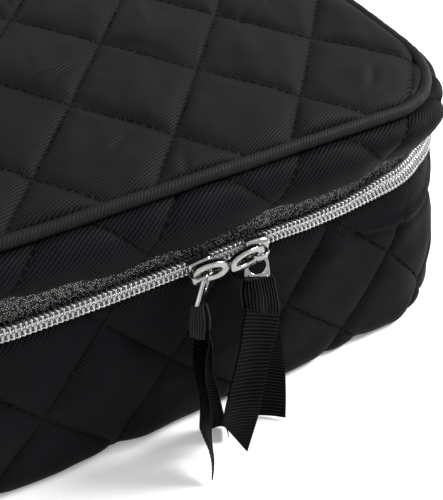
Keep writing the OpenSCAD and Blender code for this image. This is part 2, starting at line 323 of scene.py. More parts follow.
def roll_velvet(name, slot, low, high):
    """Short pile that catches the light in soft patches."""
    pile = Finish(name, slot)
    place = pile.place()
    fine, brushed = pile.noise(place, 2.6, 3.0), pile.noise(place, 0.12)
    base = pile.mix(fine * 0.5 + brushed * 0.5, low, high)
    pile.surface(Base_Color=base, Roughness=0.9, Normal=pile.bump(fine, 0.12), Specular_IOR_Level=0.15)
    pile.surface(Sheen_Weight=0.35, Sheen_Roughness=0.4)
    return pile


def stiff_board():
    """Grey board with specks of fibre, hidden between the outer cloth and the lining."""
    board = Finish("grey board", "board")
    place = board.place()
    fibre, speck = board.noise(place, 0.8, 5.0), board.noise(place, 3.0, 2.0)
    base = board.mix(fibre * 0.6 + speck * 0.4, (0.24, 0.21, 0.17), (0.42, 0.38, 0.31))
    board.surface(Base_Color=base, Roughness=0.9, Normal=board.bump(fibre, 0.05), Specular_IOR_Level=0.15)
    return board


# ---- small sums ----

def pair(u, v):
    """Two coordinates side by side, spread over one grid."""
    return np.stack(np.broadcast_arrays(u, v), -1)


def unit(vectors):
    """The same directions at length 1."""
    return vectors / np.linalg.norm(vectors, axis=-1)[..., None]


def round_angles(count):
    """Evenly spaced angles of a full turn."""
    return np.linspace(0, 2 * math.pi, count, endpoint=False)


def signed_power(values, power):
    """Values from -1 to 1 raised to a power that keeps their sign."""
    return np.sign(values) * np.abs(values) ** power


def rounded(distance, width):
    """Rise of a quarter round, 0 at an edge and 1 from a width inside it."""
    return np.sqrt(1 - (1 - np.minimum(distance / width, 1)) ** 2)


# ---- the shell's shape ----

# At each height: the radius of the standing corners, and how far they are drawn in
HEIGHTS = [0, 10, 40, 47, 52, 55, 58, 62, 66, 75]
CORNERS = [20.9, 20.9, 27.5, 28.6, 30, 31, 31, 30, 29.5, 29.4]
BOWS = [1.83, 1.7, 1.2, 1.35, 2.5, 3.1, 3.1, 2.6, 1.3, 0.0]


class Outline:
    """The rounded rectangle round the case, walked from the middle of the front to the right."""

    def __init__(self):
        quarter = CORNER * math.pi / 2
        runs = [HALF_W - CORNER, quarter, 2 * (HALF_D - CORNER), quarter, HALF_W - CORNER]
        self.ends = np.cumsum(runs)
        self.half = self.ends[-1]

    def turn(self, s):
        """Outward direction at each distance walked, left of the middle below 0."""
        front, first, flank, second = self.ends[:4]
        angle = np.interp(np.abs(s), [front, first, flank, second], [0, math.pi / 2, math.pi / 2, math.pi])
        return np.stack([np.sin(angle) * np.where(s < 0, -1.0, 1.0), -np.cos(angle)], -1)

    def at(self, s, corner, away):
        """Place at a distance walked, on an outline of one corner radius, some way out from it."""
        s = np.asarray(s, float)
        front, first, flank, second = self.ends[:4]
        fx = np.interp(np.abs(s), [0, front, second, self.half], [0, 1, 1, 0]) * np.where(s < 0, -1.0, 1.0)
        fy = np.interp(np.abs(s), [first, flank], [-1, 1])
        middle = pair(fx * (HALF_W - corner), fy * (HALF_D - corner))
        return middle + self.turn(s) * (corner + away)[..., None]

    def drawn_in(self, s):
        """0 near the middle of each side and 1 at the corners, where the zip pulls the cloth in."""
        front, first, flank, second = self.ends[:4]
        a = np.abs(s)
        on_front = (np.where(s > 10, s - 10, (s - 10) * 0.75) / 60) ** 2
        on_side = np.clip((a - (first + flank) / 2) / ((flank - first) / 2), -1, 1) ** 2
        on_back = np.clip((self.half - a) / (self.half - second), 0, 1) ** 2
        bow = np.where(a < flank, on_side, np.where(a < second, 1.0, on_back))
        return np.where(a < front, on_front, np.where(a < first, 1.0, bow))


EDGE = Outline()


def corner_lean(s):
    """1 round each standing corner, where the zip leans back, 0 along the sides."""
    a = np.abs(s)
    return np.interp(a, [58, 72, 95, 118], [0, 1, 1, 0]) + np.interp(a, [196, 215, 240, 258], [0, 1, 1, 0])


def tapered(x, y, z):
    """The lid narrows a little towards the back."""
    return x * (1 - TAPER / HALF_W * np.clip((y + 40) / 80, 0, 1) * np.interp(z, [64, 73], [0, 1]))


# The chain hangs a little low on either side of the sliders: distance walked, and how low
SAG_AT = [-54, -45, -31, -17, -2.5, 8, 37, 45, 57, 66, 75, 85]
SAG = [-0.5, -0.4, 0.9, 0.6, 0.3, 0, 0.1, 0.9, 1.1, 0.9, 0.3, 0]


def on_shell(s, z, away):
    """A point of the shell: distance walked round, height, and distance out from the widest line."""
    s, z, away = np.broadcast_arrays(np.asarray(s, float), np.asarray(z, float), np.asarray(away, float))
    corner = np.interp(z, HEIGHTS, CORNERS)
    zip_zone = np.interp(z, [47, 52, 60, 62.5], [0, 1, 1, 0])
    on_flank = np.interp(np.abs(s), [88, 105, 205, 222], [0, 1, 1, 0])
    # The sides bow out between the corners, but not at the zip along the flanks.
    inward = EDGE.drawn_in(s) * np.interp(z, HEIGHTS, BOWS) * (1 - zip_zone * on_flank)
    # The zip and the lid's band lean in round the corners, and the band along the flanks too.
    inward = inward + corner_lean(s) * np.interp(z, [52.5, 57.5, 62, 67, 72], [0, 1.7, 2.3, 1.9, 0])
    flank_pull = np.interp(np.abs(s), [88, 104, 165, 200], [0, 1, 1, 0])
    inward = inward + flank_pull * np.interp(z, [59, 63, 70, 76], [0, 2.2, 2.6, 0.9])
    place = EDGE.at(s, corner, away - inward)
    sag = np.interp(s, SAG_AT, SAG) * np.interp(z, [40, 50, 60, 72], [0, 1, 1, 0])
    return np.stack([tapered(place[..., 0], place[..., 1], z), place[..., 1], z - sag], -1)


def ripple(u, v, length, seed):
    """Slow irregular waves over the cloth, about -1 to 1."""
    dice = np.random.default_rng(seed)
    total = 0
    for _ in range(7):
        turn, phase, size = dice.uniform(0, 2 * math.pi), dice.uniform(0, 2 * math.pi), dice.uniform(0.7, 1.5)
        total = total + np.sin((u * np.cos(turn) + v * np.sin(turn)) * 2 * math.pi / (length * size) + phase)
    return total / 3


def round_wave(s, waves, seed):
    """Waves along the edge that meet themselves at the middle of the back."""
    dice = np.random.default_rng(seed)
    total = 0
    for count in range(waves // 2, waves * 2, max(1, waves // 4)):
        total = total + dice.uniform(0.5, 1) * np.sin(s * math.pi / EDGE.half * count + dice.uniform(0, 6.28))
    return total / 3


# ---- making meshes ----

def quads(rows, columns, wrap_rows=False, wrap_columns=False):
    """Four-cornered faces of a grid of points."""
    i = np.arange(rows if wrap_rows else rows - 1)[:, None]
    j = np.arange(columns if wrap_columns else columns - 1)[None, :]
    i2, j2 = (i + 1) % rows, (j + 1) % columns
    corners = [i * columns + j, i * columns + j2, i2 * columns + j2, i2 * columns + j]
    return np.stack([np.broadcast_to(c, (i.size, j.size)) for c in corners], -1).reshape(-1, 4)


def tube_faces(rows, columns):
    """Faces of a tube of closed rings, its two ends filled."""
    ends = [list(range(columns)), list(range(rows * columns - 1, (rows - 1) * columns - 1, -1))]
    return quads(rows, columns, False, True)[:, ::-1].tolist() + ends


def end_faces(rows, columns):
    """The first and last column of a grid of points, each filled as one face."""
    return [[i * columns for i in range(rows)], [i * columns + columns - 1 for i in range(rows - 1, -1, -1)]]


def wrapped_faces(rows, columns):
    """Faces of a sheet whose rows run over it and back under it."""
    return [face[::-1] for face in quads(rows, columns, True, False).tolist() + end_faces(rows, columns)]


def two_sided(rows, columns):
    """Faces of two equal grids of points, one over the other, and of the rim that joins them."""
    top = quads(rows, columns)
    last = (rows - 1) * columns
    ring = np.concatenate([np.arange(columns), np.arange(1, rows) * columns + columns - 1,
                           last + np.arange(columns - 2, -1, -1), np.arange(rows - 2, 0, -1) * columns])
    after = np.roll(ring, -1)
    rim = np.stack([ring, ring + rows * columns, after + rows * columns, after], -1)
    return np.concatenate([top, top[:, ::-1] + rows * columns, rim])


def shown(name, data):
    """A new object in the scene."""
    thing = bpy.data.objects.new(name, data)
    bpy.context.scene.collection.objects.link(thing)
    return thing


def make(part, points, faces, **attributes):
    """A mesh piece from points in mm. A part is a name, body and finish, and the frame parts it replaces."""
    name, body, finish, *stands_for = part
    mesh = bpy.data.meshes.new(name)
    points = np.asarray(points, float).reshape(-1, 3)
    mesh.from_pydata((points * MM).tolist(), [], [list(map(int, f)) for f in faces])
    for label, values in attributes.items():
        values = np.asarray(values, np.float32).reshape(-1, 2)
        whole = np.concatenate([values, np.zeros((len(values), 1), np.float32)], 1)
        mesh.attributes.new(label, "FLOAT_VECTOR", "POINT").data.foreach_set("vector", whole.ravel())
    mesh.polygons.foreach_set("use_smooth", [True] * len(mesh.polygons))
    mesh.materials.append(finish.material)
    piece = shown(name, mesh)
    if body:
        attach(piece, body)
    if stands_for:
        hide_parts(*stands_for)
    return piece


def curve_through(points, steps):
    """Smooth line through hand-set points."""
    points = np.asarray(points, float)
    padded = np.concatenate([2 * points[:1] - points[1:2], points, 2 * points[-1:] - points[-2:-1]])
    t = np.linspace(0, len(points) - 1, steps)
    i = np.minimum(t.astype(int), len(points) - 2)
    f = (t - i)[:, None]
    p0, p1, p2, p3 = (padded[i + k] for k in range(4))
    line = 0.5 * (2 * p1 + (p2 - p0) * f + (2 * p0 - 5 * p1 + 4 * p2 - p3) * f**2)
    return line + 0.5 * (3 * p1 - p0 - 3 * p2 + p3) * f**3


def running_length(line):
    """Distance walked to each point of a line."""
    return np.concatenate([[0], np.cumsum(np.linalg.norm(np.diff(line, axis=0), axis=1))])


def square_to(line):
    """Unit directions to the right of a flat line, seen along it."""
    ahead = unit(np.gradient(line, axis=0))
    return pair(ahead[:, 1], -ahead[:, 0])


def even(points, step):
    """The same line with evenly spaced points, and each one's running length."""
    fine = curve_through(points, 400)
    run = running_length(fine)
    along = np.linspace(0, run[-1], max(2, int(round(run[-1] / step)) + 1))
    return np.stack([np.interp(along, run, fine[:, k]) for k in range(fine.shape[1])], -1), along


def squared_ring(half_x, half_y, power, count):
    """Points of a rounded rectangle, squarer as the power falls."""
    angle = round_angles(count)
    return pair(half_x * signed_power(np.cos(angle), power), half_y * signed_power(np.sin(angle), power))


def swept(part, profile, sway=0.0, seed=0, reach=None, columns=620):
    """A closed profile of (out, height) carried round the case, or along it between two ends."""
    closed = reach is None
    ends = EDGE.half if closed else reach
    s = np.linspace(-ends, ends, columns, endpoint=not closed)
    away, height = np.asarray(profile, float).T
    wave = sway * round_wave(s, 24, seed)
    points = on_shell(s[None], height[:, None], away[:, None] + wave[None])
    around = running_length(pair(away, height))
    faces = quads(len(away), columns, True, closed).tolist()
    if not closed:
        faces += end_faces(len(away), columns)
    return make(part, points, faces, cloth=pair(s[None], around[:, None]))


def strip_profile(away, low, high, thick, rows=20):
    """A thin upright strip: its outer face, then its inner face."""
    z = np.linspace(low, high, rows)
    return np.concatenate([pair(away, z), pair(away - thick, z[::-1])])


# ---- quilted outside ----

HEM_LOW, HEM_STILL = 63.3, 71.5  # lowest line of the lid's hem, and the height above which it lies still
# Sections as (distance out from the widest line, height): the padded face, then the side that is lined
WALL_OUTSIDE = [(-4.1, 50.2), (-3.5, 51.7), (-2.4, 52.2), (-1.5, 51.7), (-1.0, 49.8), (-0.5, 43), (0.8, 32),
                (1.8, 22), (2.15, 12), (2.8, 5), (2.1, 1.9), (0.4, 0.35), (-2.5, 0.1), (-9.0, 0.1)]
WALL_INSIDE = [(-9.0, 1.6), (-5.4, 2.6), (-4.1, 5.0), (-4.1, 28), (-4.1, 47.5)]
BAND_OUTSIDE = [(-2.5, 65.2), (-2.2, 63.9), (-1.2, HEM_LOW), (-0.3, 63.9), (0.1, 66.2), (-0.2, 69),
                (-1.3, 71.2), (-3.2, 72.7), (-5.3, 73.5), (-7.4, 73.9)]
BAND_INSIDE = [(-7.4, 73.0), (-5.0, 72.2), (-3.5, 70.4), (-3.0, 67.5)]
# Rise of the lid's hem off its section, at distances walked round
HEM_AT = [-110, -95, -60, -45, -31, -17, -2.5, 5, 18, 35.5, 45, 54, 62, 70, 80, 95, 105, 115, 130]
HEM_RISE = [1.2, 1.6, 0.4, 0.4, 3.0, 1.9, -0.6, 0.2, 0.9, 1.2, 2.0, 1.9, 2.0, 1.0, 1.9, 2.8, 3.0, 1.6, 0.6]


def band_hem(s, fade):
    """The lid's hem droops over the tape at the corners and waves between them."""
    low = fade(HEM_LOW, HEM_STILL) ** 1.3
    waves = np.where(np.abs(s) > 125, 0.9, 0.25) * round_wave(s, 22, 5) + 0.2 * round_wave(s, 70, 6)
    back_corner = np.exp(-((np.abs(s) - (EDGE.ends[2] + EDGE.ends[3]) / 2) / 22) ** 4)
    rise = np.interp(s, HEM_AT, HEM_RISE) + waves - 1.2 * back_corner
    out = 0.3 * np.clip(-rise, 0, 4) - 0.35 * np.clip(rise - 1, 0, 4) + 0.25 * round_wave(s, 26, 8)
    return low * out, low * rise


def wall_hem(s, fade):
    """Slow sags in the wall; its top edge waves a little under the chain."""
    out = 0.45 * fade(46, 20) * (1 - fade(8, 2)) * round_wave(s, 12, 11)
    return out, fade(40, 52) * 0.2 * round_wave(s, 40, 12)


def corner_fold(s, z):
    """A soft fold below the zip at the front corners: how quilted the cloth is, and how far it stands out."""
    height = np.interp(np.abs(s), [50, 57, 64, 74, 88, 100, 112], [53, 46.5, 43.3, 41, 41.2, 44.5, 53])
    above = z - height
    plain = np.clip(above / 3 + 0.3, 0, 1) * (above < 20)
    ridge = 0.9 * np.exp(-((above - 1.6) / 1.7) ** 2) - 0.6 * np.exp(-((above + 1.0) / 1.1) ** 2)
    return 1 - 0.9 * plain * (z < 53), ridge * (z < 50.5)


def quilted_ring(part, outside, inside, quilting, anchor, rise, seed, hem, fold=None):
    """A closed padded strip round the case, quilted outside, with a seam at the middle of the back.

    The quilting's own height coordinate equals the real height at the anchor.
    """
    outer, run = even(outside, CLOTH_STEP)
    columns = int(round(2 * EDGE.half / CLOTH_STEP))
    rows = len(outer)
    profile = np.concatenate([outer, np.array(inside, float)])
    s = np.linspace(-EDGE.half, EDGE.half, columns, endpoint=False)
    downward = outer[-1, 1] < outer[0, 1]
    outward = square_to(outer) * (-1 if downward else 1)
    off_anchor = np.abs(outer[:, 1] - anchor)
    if not downward:
        turned_in = outer[:, 0] < -1.5
        off_anchor = off_anchor + 9 * turned_in
    start = run[np.argmin(off_anchor)]
    v_line = anchor + (start - run if downward else run - start)
    u, v = np.broadcast_arrays(s[None], v_line[:, None])
    back = np.minimum(np.abs(s + EDGE.half), np.abs(s - EDGE.half))
    ends = np.minimum(1, run / 3.5) * np.minimum(1, (run[-1] - run) / 3.5)
    puff = quilting.padding(u, v, rise, seed) * ends[:, None] * (1 - np.exp(-back / 2.5))[None]
    height = profile[:, 1]
    if fold:
        quilted, ridge = fold(s[None], outer[:, 1:])
        puff = puff * quilted + ridge

    def fade(full, none):
        """1 at one height, easing to 0 at another."""
        return np.clip((height[:, None] - none) / (full - none), 0, 1)

    lift, drop = hem(s[None], fade)
    away = profile[:, :1] + lift
    z = height[:, None] + drop
    away[:rows] += puff * outward[:, :1]
    z[:rows] += puff * outward[:, 1:]
    points = on_shell(s[None], np.maximum(z, 0.05), away)
    whole_v = np.concatenate([v_line, profile[rows:, 1]])
    cloth = pair(s[None], whole_v[:, None])
    lines = pair(*quilting.lines(cloth[..., 0], cloth[..., 1]))
    faces = quads(len(profile), columns, True, True)
    piece = make(part, points, faces[:, ::-1] if downward else faces, cloth=cloth, lines=lines)


def rounded_plane(half_w, half_d, corner, step):
    """Points of a flat grid whose corner squares are turned into quarter discs."""
    columns, rows = int(round(2 * half_w / step)) + 1, int(round(2 * half_d / step)) + 1
    x, y = np.meshgrid(np.linspace(-half_w, half_w, columns), np.linspace(-half_d, half_d, rows))
    a = np.maximum(np.abs(x) - (half_w - corner), 0) / corner
    b = np.maximum(np.abs(y) - (half_d - corner), 0) / corner
    reach = np.maximum(a, b)
    quarter = math.pi / 4
    steep, shallow = 2 - a / np.maximum(b, 1e-9), b / np.maximum(a, 1e-9)
    angle = np.where(b > a, steep, shallow) * quarter
    in_corner = (a > 0) & (b > 0)
    x = np.where(in_corner, np.sign(x) * (half_w - corner + corner * reach * np.cos(angle)), x)
    y = np.where(in_corner, np.sign(y) * (half_d - corner + corner * reach * np.sin(angle)), y)
    return x, y


def edge_distance(x, y, half_w, half_d, corner):
    """How far a place lies inside a rounded rectangle."""
    dx, dy = np.abs(x) - (half_w - corner), np.abs(y) - (half_d - corner)
    outside = np.hypot(np.maximum(dx, 0), np.maximum(dy, 0)) + np.minimum(np.maximum(dx, dy), 0)
    return corner - outside


def panel(part, inset, corner, back_z, face_z, height, step, quilting=FLOOR_QUILTING):
    """A flat layer of cloth or board, shaped on its face and flat on its back, above or below it."""
    side = 1 if face_z > back_z else -1
    half_w, half_d = HALF_W - inset, HALF_D - inset
    x, y = rounded_plane(half_w, half_d, corner, step)
    inside = np.maximum(edge_distance(x, y, half_w, half_d, corner), 0)
    top = face_z + side * height(x, y, inside)
    tx = tapered(x, y, np.full_like(x, face_z))
    points = [np.stack([tx, y, z], -1) for z in (top, np.full_like(x, back_z))]
    faces = two_sided(*x.shape)
    cloth, lines = [pair(x, y)] * 2, [pair(*quilting.lines(x, y))] * 2
    return make(part, points, faces if side > 0 else faces[:, ::-1], cloth=cloth, lines=lines)


def creases(x, y, seed):
    """Short sharp creases where the cloth is slack."""
    dice = np.random.default_rng(seed)
    total = 0 * x
    for _ in range(64):
        px, py = dice.uniform(-92, 92), dice.uniform(-62, 62)
        turn, long, wide = dice.normal(1.1, 0.7), dice.uniform(4, 10), dice.uniform(0.7, 1.5)
        along = (x - px) * np.cos(turn) + (y - py) * np.sin(turn)
        across = (y - py) * np.cos(turn) - (x - px) * np.sin(turn) - along**2 * dice.uniform(-0.02, 0.02)
        depth = dice.uniform(-0.5, 0.35)
        total = total + depth * np.exp(-((along / long) ** 2)) * np.exp(-((across / wide) ** 2))
    return total


def top_height(x, y, inside):
    """The quilted top, slack in places, rounded down to its seam."""
    quilt = TOP_QUILTING.padding(x, y, 2.3, 5) + 1.7 * creases(x, y, 13)
    return (quilt + 0.85 + 0.3 * ripple(x, y, 70, 12)) * rounded(inside, 4.5)


def floor_height(x, y, inside):
    """The quilted underside, pressed nearly flat."""
    return FLOOR_QUILTING.padding(x, y, 0.7, 6) * np.minimum(inside / 4, 1)


def lining_height(x, y, inside):
    """Lining that lies a little unevenly over its board."""
    return 0.12 * ripple(x, y, 38, 9) * np.minimum(inside / 8, 1)


def level(x, y, inside):
    """A plain flat board."""
    return 0 * x


# ---- piping and zip ----

def piping(part):
    """A cord in a bias strip, sewn in along the top seam."""
    columns, sides = 640, 16
    s = np.linspace(-EDGE.half, EDGE.half, columns, endpoint=False)
    angle = round_angles(sides)[:, None]
    r = PIPING_R * (1 + 0.035 * round_wave(s, 70, 21) + 0.03 * round_wave(s, 200, 22))[None]
    away = -PIPING_IN + r * np.cos(angle)
    place = on_shell(s[None], np.full((sides, columns), PIPING_Z), away)
    place[..., 2] += r * np.sin(angle) + 0.14 * round_wave(s, 16, 23)[None]
    faces = quads(sides, columns, True, True)[:, ::-1]
    make(part, place, faces, cloth=pair(s[None], angle * PIPING_R))


ZIP_REACH = EDGE.half - HINGE_HALF
COIL_REACH = ZIP_REACH - 1
TAPE_DEEP, TAPE_GAP = 2.6, 0.35  # depth in from the widest line, and half the slot between the tapes


def coil_half(part, side):
    """Half of the chain: a flattened coil, its heads just over the middle, between the other half's."""
    turns = int(2 * COIL_REACH / COIL_PITCH)
    per_turn = 14
    t = np.arange(turns * per_turn + 1) / per_turn
    s = -COIL_REACH + (t + (0.5 if side < 0 else 0.0)) * COIL_PITCH
    swing = t * 2 * math.pi
    across, bulge = np.cos(swing), np.sin(swing)
    half = (CHAIN_HIGH - ZIP_Z) / 2
    z = ZIP_Z + side * (half - 0.04 + signed_power(across, 0.65) * (half - WIRE + 0.22))
    away = signed_power(bulge, 0.7) * 0.72 - COIL_DEEP
    head = np.clip(-across, 0, 1) ** 2
    lean = 0.17 * COIL_PITCH * across * np.sign(bulge)
    path = on_shell(s + lean, z, away)
    radius = WIRE * (1 + 0.32 * head - 0.08 * (1 - head))
    return tube_along(part, path, radius, around=6)


def tube_along(part, path, radius, around):
    """A round wire along a line of points, its ends closed."""
    forward = unit(np.gradient(path, axis=0))
    side = np.cross(forward, [0, 0, 1.0])
    weak = np.linalg.norm(side, axis=1) < 0.2
    side[weak] = np.cross(forward[weak], [0.6, 0.8, 0])
    turned = np.cumprod(np.where(np.sum(side[1:] * side[:-1], axis=1) < 0, -1, 1))
    side[1:] *= turned[:, None]
    side = unit(side)
    other = np.cross(side, forward)
    angle = round_angles(around)[None, :, None]
    radius = np.broadcast_to(radius, len(path))[:, None, None]
    points = path[:, None] + (side[:, None] * np.cos(angle) + other[:, None] * np.sin(angle)) * radius
    return make(part, points, tube_faces(len(path), around))


def coil_core(part, side):
    """The soft cord inside the coil, seen between its turns."""
    s = np.linspace(-COIL_REACH, COIL_REACH, 700)
    return tube_along(part, on_shell(s, ZIP_Z + side * 1.2, -COIL_DEEP - 0.08), radius=0.62, around=8)


def coil_thread(part, side):
    """The sewing thread that lies over the coil and holds it to its tape."""
    s = np.linspace(-COIL_REACH, COIL_REACH, 2600)
    stitch = np.cos(s * 2 * math.pi / COIL_PITCH)
    path = on_shell(s, ZIP_Z + side * 1.22 + 0.1 * stitch, -0.28 + 0.12 * stitch)
    return tube_along(part, path, radius=0.24 + 0.06 * stitch, around=6)


def back_cloth(part, low, high):
    """The cloth hinge, sewn to both halves, with a little slack between them."""
    columns, rows = 90, 44
    x, z = np.meshgrid(np.linspace(-HINGE_HALF, HINGE_HALF, columns), np.linspace(low, high, rows))
    slack = 0.5 * np.exp(-((z - ZIP_Z) / 4) ** 2) + 0.12 * ripple(x, z, 16, 41)
    outer = np.stack([x, HALF_D - 0.75 - slack, z], -1)
    inner = outer[::-1] - np.array([0, 1.0, 0])
    points = np.concatenate([outer, inner])
    cloth = pair(points[..., 0], points[..., 2])
    lines = np.full_like(cloth, 0.5)
    piece = make(part, points, wrapped_faces(2 * rows, columns), cloth=cloth, lines=lines)
    bend_from, bend_to = ((0, HALF_D * MM, (ZIP_Z + rise) * MM) for rise in (-2.2, 2.2))
    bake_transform(piece)
    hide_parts("back_hinge")


# ---- padded inside ----

BASE_RIM = [(-3.2, 49.6), (-3.3, 51.2), (-4.0, 51.8), (-5.2, 52.0), (-6.4, 51.7), (-7.0, 50.8), (-7.1, 49.2),
            (-6.4, 48.9), (-6.0, 49.6)]
LID_RIM = [(-3.9, 61.2), (-3.9, 59.9), (-4.4, 59.4), (-5.2, 59.4), (-5.6, 60.0), (-5.6, 61.2)]
# Each compartment wall runs along x (0) or y (1) and stops short of its neighbours at either end.
DIVIDERS = {"divider_long": (0, 0.9, 0.9), "divider_front": (1, 0.9, 0.1),
            "divider_back_left": (1, 0.1, 0.9), "divider_back_right": (1, 0.1, 0.9)}


def cushion(part, low, high, axis, power, ends, seed, ripples):
    """A long padded piece: one rounded section carried along x (0) or y (1)."""
    low, high = np.array(low, float), np.array(high, float)
    other = 1 - axis
    along = np.linspace(low[axis], high[axis], max(12, int((high[axis] - low[axis]) / PAD_STEP)))
    extra = ends * (1 - np.cos(np.linspace(0, math.pi / 2, 9)))
    along = np.unique(np.round(np.concatenate([along, low[axis] + extra, high[axis] - extra]), 4))
    near = np.minimum(np.minimum(along - low[axis], high[axis] - along) / ends, 1)
    shrink = ends * (1 - np.sqrt(np.maximum(1 - (1 - near) ** 2, 0.002)))
    half_b, half_z = (high[other] - low[other]) / 2, (high[2] - low[2]) / 2
    count = int(2 * (half_b + half_z) * 1.7 / PAD_STEP)
    ring = squared_ring(half_b, half_z, power, count)
    around = running_length(np.concatenate([ring, ring[:1]]))[:-1]
    grow = ripples * (ripple(along[:, None], around[None], 14, seed) - 0.6)
    grow = grow + ripples * 0.5 * ripple(along[:, None], around[None] * 0.4, 5, seed + 1)
    offset = ring[None] + unit(ring)[None] * (grow * near[:, None] - shrink[:, None])[..., None]
    points = np.empty((len(along), count, 3))
    points[..., axis] = along[:, None]
    points[..., other] = (low[other] + high[other]) / 2 + offset[..., 0]
    points[..., 2] = (low[2] + high[2]) / 2 + offset[..., 1]
    faces = tube_faces(len(along), count)
    faces = faces if axis else [face[::-1] for face in faces]
    make(part, points, faces, cloth=pair(along[:, None], around[None]))


def pocket_sheet(part, low, high):
    """The lid pocket, gathered along its open front edge."""
    columns, rows = 220, 110
    gathered, fold_pitch = 42, 6.1
    x, y = np.meshgrid(np.linspace(low[0], high[0], columns), np.linspace(low[1], high[1], rows))
    gather = np.clip((low[1] + gathered - y) / gathered, 0, 1) ** 1.6
    side = np.minimum(1, np.minimum(x - low[0], high[0] - x) / 5)
    fold = np.sin(x * 2 * math.pi / fold_pitch + 0.8 * ripple(x, y, 24, 51)) * 0.75
    fold = fold + 0.3 * ripple(x, y * 0.3, 9, 52)
    sag = 1.1 * np.sin(math.pi * np.clip((y - low[1]) / (high[1] - low[1]), 0, 1)) * side
    under = low[2] - 0.4 - sag - gather * side * (0.8 + fold)
    faced = np.stack([x, y, under], -1)
    above = faced[::-1] + np.array([0, 0, 0.5])
    points = np.concatenate([faced, above])
    return make(part, points, wrapped_faces(2 * rows, columns), cloth=points[..., :2])


# ---- sliders and pulls ----

def placed(points, origin, across, up, towards):
    """Local points carried onto three directions at a place."""
    return np.asarray(points, float) @ np.stack([across, up, towards]) + np.asarray(origin, float)


def directions(along, across):
    """Unit directions along and across, square to each other, and the one square to both."""
    along, across = unit(np.array(along, float)), np.array(across, float)
    across = unit(across - along * (across @ along))
    return along, across, np.cross(across, along)


def bevelled(outline, hole, thick, bevel):
    """A plate with softened edges, with a hole if one is given."""
    def rims(loop, inward, order):
        """The loop at each level of the plate, drawn in at its edges."""
        ahead = unit(np.roll(loop, -1, 0) - np.roll(loop, 1, 0))
        outward = pair(ahead[:, 1], -ahead[:, 0])
        flats = [(loop - outward * (inward * depth * bevel), height) for depth, height in order]
        return [np.concatenate([flat, np.full((len(flat), 1), height)], -1) for flat, height in flats]

    half, soft, mid = thick / 2, thick / 2 - bevel, thick / 2 - 0.3 * bevel
    order = [(1, -half), (0.3, -mid), (0, -soft), (0, soft), (0.3, mid), (1, half)]
    loops = rims(outline, 1, order)
    count = len(outline)
    if hole is None:
        return np.concatenate(loops), tube_faces(len(loops), count)
    loops += rims(hole, -1, order[::-1])
    return np.concatenate(loops), quads(len(loops), count, True, True)[:, ::-1].tolist()


def pull_ring(part, centre, along, half_l, half_h):
    """A flat oval ring, its bars thicker at the ends than along the sides."""
    end_bar, side_bar = 2.0, 1.6
    outline = squared_ring(half_l, half_h, 0.82, 72)
    hole = squared_ring(half_l - end_bar, half_h - side_bar, 0.86, 72)
    points, faces = bevelled(outline, hole, thick=1.6, bevel=0.3)
    ahead, up, out = directions(along, (0, 0, 1))
    return make(part, placed(points, centre, ahead, up, out), faces)


def pull_link(part, hook, down, across, length):
    """A tapered plate with a round hole, hanging on the ring's lower bar."""
    angle = round_angles(72)
    c, s = np.cos(angle), np.sin(angle)
    head_wide, head_high, foot_wide, hole_r = 2.95, 3.15, 3.5, 2.12
    foot = np.clip(-s, 0, 1) ** 0.45
    half_width = head_wide * c * (1 - foot) + np.clip(head_wide * 1.9 * c, -foot_wide, foot_wide) * foot
    height = (head_high * s - 1.2) * (1 - foot) - length * foot
    outline, hole = pair(half_width, height), pair(hole_r * c, hole_r * s - 1.35)
    points, faces = bevelled(outline, hole, thick=1.05, bevel=0.3)
    fall, side, out = directions(down, across)
    return make(part, placed(points, hook, side, -fall, out), faces)


def slider(part, x, way, bridge_at):
    """A cast slider: a body that wraps the chain, a bridge over the ring and a bright nose.

    It closes the chain behind it as it moves towards way, 1 for the right and -1 for the left.
    """
    section = [(-71.45, 0.0), (-71.45, 1.6), (-71.3, 2.05), (-70.9, 2.5), (-70.2, 2.85), (-69.3, 2.95),
               (-69.2, 2.55), (-70.0, 2.35), (-70.45, 1.9), (-70.5, 0.0)]
    section = np.array(section + [(y, -z) for y, z in section[-2:0:-1]], float)
    stations = [-3.0, -2.85, -2.3, -1.0, 0.6, 2.0, 2.8, 2.95]
    scales = [0.72, 0.80, 0.88, 0.94, 0.98, 1.02, 1.0, 0.94]
    loops = []
    for station, scale in zip(stations, scales):
        bevel = 0.14 / 71 if station in (stations[0], stations[-1]) else 0.0
        y, z = section[:, 0] * (1 - bevel), section[:, 1] * scale + ZIP_Z
        loops.append(np.stack([np.full(len(section), x + way * station), y, z], -1))
    faces = tube_faces(len(loops), len(section))
    shell = (np.concatenate(loops), faces if way < 0 else [f[::-1] for f in faces])
    arch = curve_through([(-1.9, -71.2), (-1.95, -72.7), (-1.35, -73.75), (0, -74.0), (1.35, -73.75),
                          (1.95, -72.7), (1.9, -71.2)], 30)
    cut = squared_ring(0.4, 0.95, 0.4, 16)
    strap = np.empty((len(arch), 16, 3))
    strap[..., :2] = arch[:, None] + square_to(arch)[:, None] * cut[None, :, :1]
    strap[..., 0] += bridge_at
    strap[..., 2] = ZIP_Z + cut[None, :, 1]
    bridge = (strap.reshape(-1, 3), tube_faces(len(arch), 16))
    facing = (1, 0, 0), (0, 0, 1), (0, -1, 0)
    nose, nose_faces = bevelled(squared_ring(1.25, 1.15, 1.0, 32), None, 1.1, 0.4)
    nose = placed(nose, (x - way * 2.0, -71.4, ZIP_Z - 1.7), *facing)
    back, back_faces = bevelled(squared_ring(2.9, 2.6, 0.5, 32), None, 0.9, 0.25)
    back = placed(back, (x, -65.9, ZIP_Z), *facing)
    points, faces = [], []
    for shape, shape_faces in (shell, bridge, (nose, nose_faces), (back, back_faces)):
        start = sum(map(len, points))
        points.append(shape)
        faces += [[start + i for i in face] for face in shape_faces]
    return make(part, np.concatenate(points), faces)


